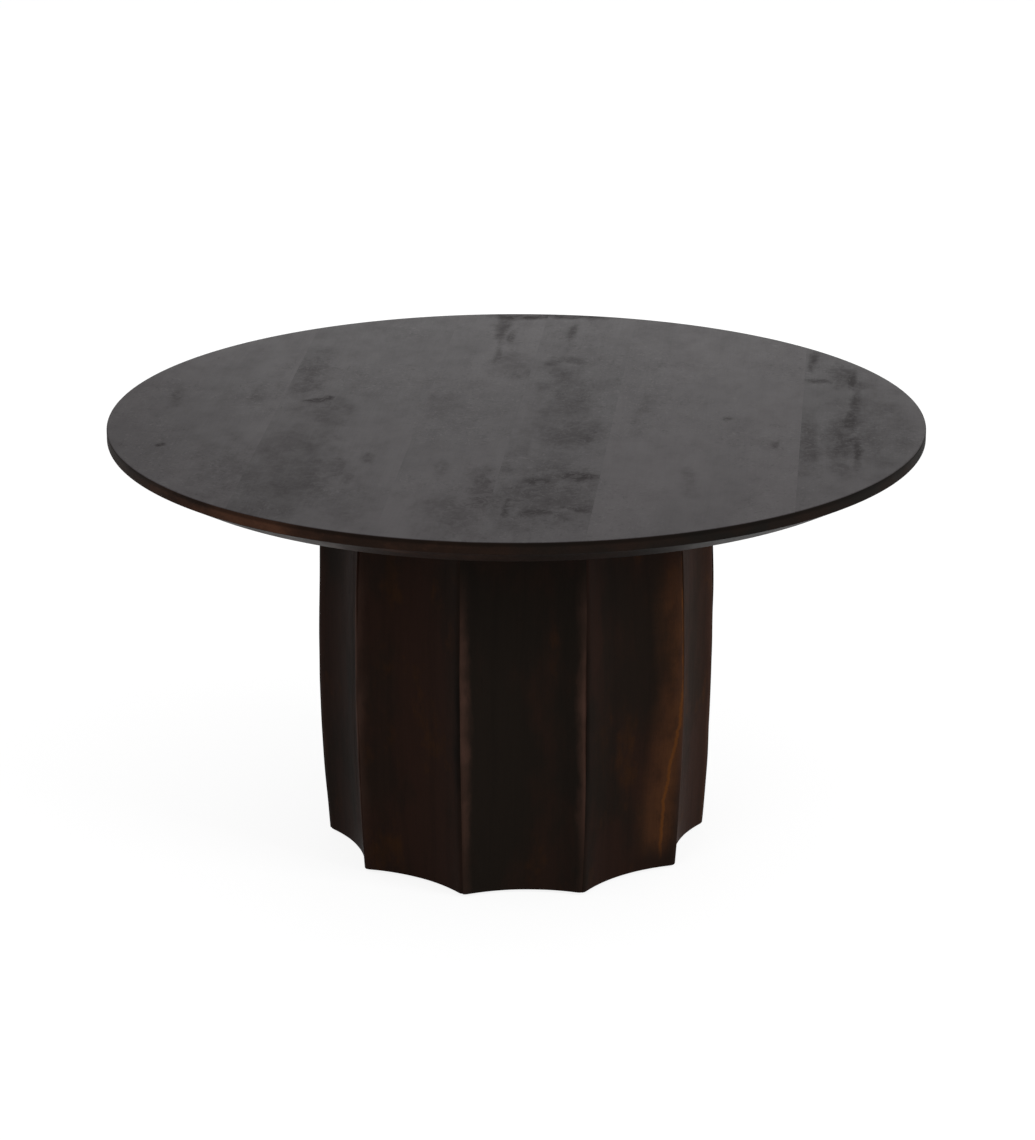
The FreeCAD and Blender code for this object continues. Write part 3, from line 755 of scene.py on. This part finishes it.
def makeStaveTree():
    sizes = [name for name in drum if name[0].isupper()] + ["Height", "Foot", "Half Angle", "Turn", "Seed"]
    inputs = [(name, "Float") for name in sizes] + [("Material", "Material")]
    tree, given = newGeometryTree("fluted stave", inputs)
    rows, easeRow, rebateRow = drum["rows"], drum["easeRow"], drum["rebateRow"]
    block = addNode(tree, "GeometryNodeMeshCube", {
        "Size": (1, 1, 1), "Vertices X": 3, "Vertices Y": drum["columns"] + 1, "Vertices Z": rows + 1})
    blockPlace = split(tree, tree.nodes.new("GeometryNodeInputPosition").outputs[0])
    depth = plus(tree, blockPlace["X"], 0.5)
    row = times(tree, plus(tree, blockPlace["Z"], 0.5), rows)

    # Rows: close together in the eased foot, doubled where a rebate steps in, even between the rebates
    ease = given["Foot Ease"]
    aboveEase = minus(tree, given["Rebate Depth"], ease)
    middle = minus(tree, given["Height"], times(tree, given["Rebate Depth"], 2))
    up = ramp(tree, row, 0, easeRow, 0, ease, "LINEAR")
    for start, stop, rise in (
            (easeRow, rebateRow, aboveEase), (rebateRow + 1, rows - rebateRow - 1, middle),
            (rows - rebateRow, rows - easeRow, aboveEase), (rows - easeRow, rows, ease)):
        up = plus(tree, up, ramp(tree, row, start, stop, 0, rise, "LINEAR"))
    fromEnd = calc(tree, "MINIMUM", row, minus(tree, rows, row))
    inRebate = calc(tree, "LESS_THAN", fromEnd, rebateRow + 0.5)
    swell = minus(tree, calc(tree, "DIVIDE", times(tree, up, 2), given["Height"]), 1)
    swell = times(tree, swell, swell)

    # Columns: closer together towards the arrises
    across = calc(tree, "SINE", times(tree, blockPlace["Y"], pi))
    turn = times(tree, across, given["Half Angle"])
    turnCos = calc(tree, "COSINE", turn)
    turnSin = calc(tree, "SINE", turn)

    # Outside: the lesser of the flute and the barrel, blended so that the arris is soft
    bottom = minus(tree, given["Flute Bottom"], times(tree, given["Flute Swell"], swell))
    cutter = minus(tree, given["Flute Axis"], bottom)
    offset = times(tree, given["Flute Axis"], turnSin)
    chord = calc(tree, "SQRT", minus(tree, times(tree, cutter, cutter), times(tree, offset, offset)))
    flute = minus(tree, times(tree, given["Flute Axis"], turnCos), chord)
    fall = minus(tree, given["Arris Radius"], given["Arris Radius At Ends"])
    barrel = minus(tree, given["Arris Radius"], times(tree, fall, swell))

    # Hand work: the arris is eased unevenly along its length, and the flute isn't quite true
    beside = combine(tree, X=given["Seed"], Y=times(tree, calc(tree, "SIGN", across), handWork["arrisShift"]),
                     Z=times(tree, up, handWork["arrisScale"]))
    uneven = ramp(tree, noise(tree, beside, detail=handWork["detail"]), *handWork["arrisShare"])
    barrel = minus(tree, barrel, times(tree, uneven, given["Arris Wander"]))
    outer = calc(tree, "SMOOTH_MIN", flute, barrel, given["Softness"])
    spot = combine(tree, X=given["Seed"], Y=times(tree, turn, handWork["turnScale"]),
                   Z=times(tree, up, handWork["heightScale"]))
    dips = noise(tree, spot, detail=handWork["detail"])
    outer = minus(tree, outer, times(tree, dips, given["Hand Work"]))
    nearFoot = calc(tree, "SUBTRACT", 1, calc(tree, "DIVIDE", up, ease), clamp=True)
    quarter = calc(tree, "SQRT", minus(tree, 1, times(tree, nearFoot, nearFoot)))
    outer = minus(tree, outer, times(tree, minus(tree, 1, quarter), ease))

    # Inside: flat, but round in the rebates that take the head and the floor ring. The block's depths are
    # nought for the inside, a half for the rebates' own round, and one for the outside.
    inner = calc(tree, "DIVIDE", given["Inner Flat"], turnCos)
    isInner = calc(tree, "LESS_THAN", depth, 0.25)
    isOuter = calc(tree, "GREATER_THAN", depth, 0.75)
    isFlat = times(tree, isInner, minus(tree, 1, inRebate))
    radius = ramp(tree, isFlat, 0, 1, given["Rebate Radius"], inner, "LINEAR")
    radius = ramp(tree, isOuter, 0, 1, radius, outer, "LINEAR")
    place = combine(tree, X=times(tree, radius, turnCos), Y=times(tree, radius, turnSin), Z=up)

    shaped = addNode(tree, "GeometryNodeSetPosition", {"Geometry": block.outputs["Mesh"], "Position": place})
    merged = addNode(tree, "GeometryNodeMergeByDistance", {
        "Geometry": shaped.outputs[0], "Distance": drum["mergeWithin"]})
    stored = addNode(tree, "GeometryNodeStoreNamedAttribute", {
        "Geometry": merged.outputs[0], "Name": "woodPlace",
        "Value": tree.nodes.new("GeometryNodeInputPosition").outputs[0]},
        data_type="FLOAT_VECTOR", domain="POINT")
    turned = addNode(tree, "GeometryNodeTransform", {
        "Geometry": stored.outputs[0], "Translation": combine(tree, Z=given["Foot"]),
        "Rotation": combine(tree, Z=given["Turn"])})
    finishTree(tree, turned.outputs[0], given["Material"])
    return tree


def makeStave(index, tree):
    name = f"stave_{index + 1:02d}"
    low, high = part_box(name)
    halfAngle = pi / drum["staves"]
    values = {size: number for size, number in drum.items() if size[0].isupper()}
    values.update({
        "Height": high[2] - low[2], "Foot": low[2], "Half Angle": halfAngle,
        "Turn": drum["firstTurn"] + 2 * halfAngle * index, "Seed": drum["handSeedStep"] * index,
        "Material": staveMaterial})
    mesh = growMesh(f"{name}_look", tree, values)
    tone, redness, sapwoodEdge, arrisLightLeft, arrisLightRight = staveLooks[index]
    # The last two values set painted highlight or painted shade beside each arris
    setPieceValues(mesh, {
        "woodSeed": drum["firstWoodSeed"] + index, "woodTone": tone, "woodRedness": redness,
        "sapwoodEdge": sapwoodEdge, "arrisLightLeft": arrisLightLeft, "arrisLightRight": arrisLightRight})
    smoothMesh(mesh, drum["sharpFrom"])
    addPiece(f"{name}_look", mesh, "stave_wood", name)


staveTree = makeStaveTree()
for stave in range(drum["staves"]):
    makeStave(stave, staveTree)
print("staves made")


# Bolts, inserts and felt pads: each is turned once, and a geometry tree sets it round the drum

bolts = {
    "count": 4, "ringRadius": 0.125022, "firstTurn": radians(10),
    "segments": 36, "sharpFrom": radians(40),
    "face": 0.4095, "under": 0.412, "plainTo": 0.4165, "end": 0.441,
    "headRadius": 0.0085, "shankRadius": 0.004, "ease": 0.0003, "crown": 0.0008,
    "pitch": 0.00125, "threadDepth": 0.0006,
    "socketWidth": 0.005, "socketTop": 0.411,
}

inserts = {
    "low": 0.430, "high": 0.443, "radius": 0.006, "bore": 0.0041, "ease": 0.0003,
    "collar": 0.0012, "threadFrom": 0.0016, "threadTo": 0.0008, "taper": 0.0012,
    "pitch": 0.0025, "threadDepth": 0.0009, "innerDepth": 0.0005, "mouth": 0.0005,
}

pads = {
    "count": 5, "ringRadius": 0.144022, "firstTurn": drum["firstTurn"],
    "segments": 48, "sharpFrom": radians(40),
    "radius": 0.0125, "low": 0.0001, "high": 0.003, "round": 0.0008, "cornerSteps": 5,
    "rings": (0, 0.3, 0.6, 0.8),       # as shares of the radius
    "fuzz": 0.0002, "hairScale": 700,
}


def threadRows(low, high, outer, depth, pitch):
    # Rows of a screw thread, four to each turn of it.
    def radiusAt(height):
        return lambda turn: outer - depth * abs(2 * ((height / pitch - turn / (2 * pi)) % 1) - 1)

    count = round((high - low) / pitch * 4)
    heights = [low + (high - low) * step / count for step in range(count + 1)]
    return [(radiusAt(height), height) for height in heights]


def hexRadius(acrossFlats):
    return lambda turn: acrossFlats / 2 / cos((turn + pi / 6) % (pi / 3) - pi / 6)


def makeBolt():
    face, under, plainTo, end = (bolts[name] for name in ("face", "under", "plainTo", "end"))
    head, shank, ease, crown = (bolts[name] for name in ("headRadius", "shankRadius", "ease", "crown"))
    socket, mouth = hexRadius(bolts["socketWidth"]), hexRadius(bolts["socketWidth"] + 2 * ease)
    rows = [(0, bolts["socketTop"]), (socket, bolts["socketTop"]), (socket, face + ease), (mouth, face),
            (head - crown, face), (head - crown / 4, face + ease), (head, face + 3 * ease),
            (head, under - ease), (head - ease, under), (shank, under), (shank, plainTo)]
    rows += threadRows(plainTo + ease, end - 2 * ease, shank, bolts["threadDepth"], bolts["pitch"])
    rows += [(shank - 3 * ease, end), (0, end)]
    return turnRows(rows, bolts["segments"])


def makeInsert():
    low, high, outer = inserts["low"], inserts["high"], inserts["radius"]
    ease, mouth = inserts["ease"], inserts["mouth"]
    wide = inserts["bore"] + inserts["innerDepth"]
    inner = threadRows(low + mouth, high - mouth, wide, inserts["innerDepth"], bolts["pitch"])
    rows = [(wide, low), (outer - ease, low), (outer, low + ease), (outer, low + inserts["collar"])]
    rows += threadRows(low + inserts["threadFrom"], high - inserts["threadTo"], outer,
                       inserts["threadDepth"], inserts["pitch"])
    rows += [(outer - inserts["taper"], high), (wide, high)] + inner[::-1]
    return turnRows(rows, bolts["segments"], closed=True)


def makePad():
    low, high, radius, ease = pads["low"], pads["high"], pads["radius"] - pads["fuzz"], pads["round"]
    steps = pads["cornerSteps"]
    turns = [radians(90 / steps * step) for step in range(steps + 1)]
    corner = [(radius - ease * (1 - sin(turn)), low + ease * (1 - cos(turn))) for turn in turns]
    lower = [(radius * share, low) for share in pads["rings"]] + corner
    return turnRows(lower + [(reach, high + low - height) for reach, height in lower[::-1]], pads["segments"])


def makeRingTree():
    tree, given = newGeometryTree("ring of fittings", (
        ("Fitting", "Object"), ("Count", "Int"), ("Ring Radius", "Float"), ("First Turn", "Float"),
        ("Fuzz", "Float"), ("Material", "Material")))
    index = tree.nodes.new("GeometryNodeInputIndex").outputs[0]
    turn = calc(tree, "DIVIDE", times(tree, index, 2 * pi), given["Count"])
    turn = plus(tree, turn, given["First Turn"])
    spot = combine(tree, X=times(tree, calc(tree, "COSINE", turn), given["Ring Radius"]),
                   Y=times(tree, calc(tree, "SINE", turn), given["Ring Radius"]))
    points = addNode(tree, "GeometryNodePoints", {"Count": given["Count"], "Position": spot})
    fitting = addNode(tree, "GeometryNodeObjectInfo", {"Object": given["Fitting"]})
    placed = addNode(tree, "GeometryNodeInstanceOnPoints", {
        "Points": points.outputs[0], "Instance": fitting.outputs["Geometry"],
        "Rotation": combine(tree, Z=turn)})

    # The felt's edges are ruffled, so the copies are made real before their points are moved
    real = addNode(tree, "GeometryNodeRealizeInstances", {"Geometry": placed.outputs[0]})
    here = tree.nodes.new("GeometryNodeInputPosition").outputs[0]
    hair = push(tree, stretch(tree, here, *[pads["hairScale"]] * 3), 1)
    ruffled = addNode(tree, "GeometryNodeSetPosition", {
        "Geometry": real.outputs[0], "Offset": scaleVector(tree, hair, given["Fuzz"])})
    finishTree(tree, ruffled.outputs[0], given["Material"])
    return tree


def setRound(node, made, slotName, material, tree, ring):
    single = bpy.data.meshes.new(f"{node}_single")
    made.to_mesh(single)
    made.free()
    smoothMesh(single, ring["sharpFrom"])
    fitting = bpy.data.objects.new(f"{node}_single", single)
    bpy.context.scene.collection.objects.link(fitting)
    mesh = growMesh(f"{node}_look", tree, {
        "Fitting": fitting, "Count": ring["count"], "Ring Radius": ring["ringRadius"],
        "First Turn": ring["firstTurn"], "Fuzz": ring.get("fuzz", 0.0), "Material": material})
    bpy.data.objects.remove(fitting)
    addPiece(f"{node}_look", mesh, slotName, node)


ringTree = makeRingTree()
setRound("top_bolts", makeBolt(), "plated_steel", steelMaterial, ringTree, bolts)
setRound("threaded_inserts", makeInsert(), "plated_steel", steelMaterial, ringTree, bolts)
setRound("felt_pads", makePad(), "felt", feltMaterial, ringTree, pads)
print("fittings made")


# Hidden wooden pieces keep their solids and get their finish

for part in frame["record"]["subparts"]:
    if part["material_slot"] == "inner_wood":
        piece = cadNodes[part["node"]]
        if not piece.material_slots:
            piece.data.materials.append(innerMaterial)
        for slot in piece.material_slots:
            slot.material = innerMaterial
print("hidden pieces finished")


# Floor, light and camera

studio = {
    "floorSize": 14.0,
    "floorGlow": 0.86,
    "floorSeen": (0.24, 0.24, 0.24, 1),
    "floorReal": (0.70, 0.70, 0.70, 1),
    "white": (1, 1, 1, 1),
    "ambient": 0.6,
}


def seenAsGround(tree):
    # One where the camera sees the ground, also in gloss or glass, and nought where it lights the table.
    path = tree.nodes.new("ShaderNodeLightPath").outputs
    direct = calc(tree, "MAXIMUM", path["Is Camera Ray"], path["Is Glossy Ray"])
    return calc(tree, "MAXIMUM", direct, path["Is Transmission Ray"])


def makeFloor():
    mesh = bpy.data.meshes.new("floor")
    half = studio["floorSize"] / 2
    corners = [(-half, -half, 0), (half, -half, 0), (half, half, 0), (-half, half, 0)]
    mesh.from_pydata(corners, [], [(0, 1, 2, 3)])
    material = bpy.data.materials.new("pale floor")
    material.use_nodes = True
    tree = material.node_tree
    tree.nodes.clear()
    glow = addNode(tree, "ShaderNodeEmission", {"Color": studio["white"], "Strength": studio["floorGlow"]})
    shade = addNode(tree, "ShaderNodeBsdfDiffuse", {"Color": studio["floorSeen"]})
    real = addNode(tree, "ShaderNodeBsdfDiffuse", {"Color": studio["floorReal"]})
    both = addNode(tree, "ShaderNodeAddShader", {0: glow.outputs[0], 1: shade.outputs[0]})
    mixed = addNode(tree, "ShaderNodeMixShader", {
        0: seenAsGround(tree), 1: real.outputs[0], 2: both.outputs[0]})
    addNode(tree, "ShaderNodeOutputMaterial", {"Surface": mixed.outputs[0]})
    mesh.materials.append(material)
    floor = bpy.data.objects.new("floor", mesh)
    bpy.context.scene.collection.objects.link(floor)


def makeWorld():
    world = bpy.data.worlds.new("studio")
    bpy.context.scene.world = world
    world.use_nodes = True
    tree = world.node_tree
    tree.nodes.clear()
    strength = ramp(tree, seenAsGround(tree), 0, 1, studio["ambient"], 1.0, "LINEAR")
    background = addNode(tree, "ShaderNodeBackground", {"Color": studio["white"], "Strength": strength})
    addNode(tree, "ShaderNodeOutputWorld", {"Surface": background.outputs[0]})


lampAim = (0, 0, 0.25)
lamps = {
    # place, width, height, watts: soft boxes aimed at the middle of the table
    "key": ((3.0, -1.6, 1.9), 1.3, 1.3, 42),
    "fill": ((-1.2, -3.2, 2.4), 1.6, 1.6, 18),
    "back": ((-0.1, 3.0, 0.66), 1.6, 0.5, 9),
}


def makeLamps():
    for name, (place, width, height, watts) in lamps.items():
        light = bpy.data.lights.new(name, "AREA")
        light.shape = "RECTANGLE"
        light.size = width
        light.size_y = height
        light.energy = watts
        lamp = bpy.data.objects.new(name, light)
        lamp.location = place
        aim = Vector(lampAim) - Vector(place)
        lamp.rotation_euler = aim.to_track_quat("-Z", "Y").to_euler()
        bpy.context.scene.collection.objects.link(lamp)


camera = {
    "turn": radians(5.0),      # how far the camera stands round from the boards' own direction
    "down": radians(18.33),
    "distance": 4.229,
    "aimHeight": 0.2924, "aimSide": 0.0012,
    "lens": 126.6,
}


def makeCamera():
    data = bpy.data.cameras.new("camera")
    data.lens = camera["lens"]
    data.sensor_fit = "AUTO"
    flat = cos(camera["down"])
    away = Vector((sin(camera["turn"]) * flat, -cos(camera["turn"]) * flat, sin(camera["down"])))
    eye = bpy.data.objects.new("camera", data)
    eye.location = Vector((0, 0, camera["aimHeight"])) + away * camera["distance"]
    aim = Vector((cos(camera["turn"]), sin(camera["turn"]), 0)) * camera["aimSide"]
    eye.rotation_euler = (aim - away * camera["distance"]).to_track_quat("-Z", "Y").to_euler()
    bpy.context.scene.collection.objects.link(eye)
    bpy.context.scene.camera = eye


makeFloor()
makeWorld()
makeLamps()
makeCamera()
bpy.context.scene.view_settings.view_transform = "Standard"
print("studio made")
